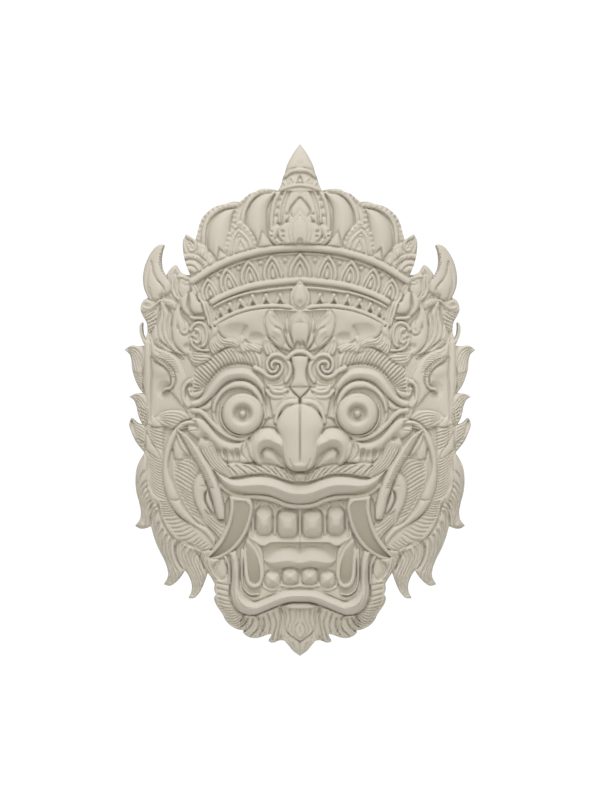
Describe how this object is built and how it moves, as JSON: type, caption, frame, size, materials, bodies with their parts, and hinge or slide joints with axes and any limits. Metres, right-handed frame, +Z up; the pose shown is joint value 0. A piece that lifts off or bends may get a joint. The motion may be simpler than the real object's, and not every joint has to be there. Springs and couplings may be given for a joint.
{
  "type": "demon mask wall relief",
  "caption": "Crowned guardian demon mask carved as a flat-backed relief, with bulging eyes, tusks, flame ears and a mane of pointed locks, made to hang on a wall.",
  "frame": {"origin": "centre of the flat back face, midway between the finial's tip and the beard's tip", "axes": "+Z up, from the beard's tip to the finial's tip; +Y out of the flat back, into the wall, so the face looks along -Y; +X to the right for someone facing the mask"},
  "size_m": [0.353, 0.0624, 0.514],
  "materials": {
    "pale_stone": "matte, warm grey-beige, evenly carved"
  },
  "bodies": {
    "root": {"mask_relief": "pale_stone"}
  },
  "joints": []
}
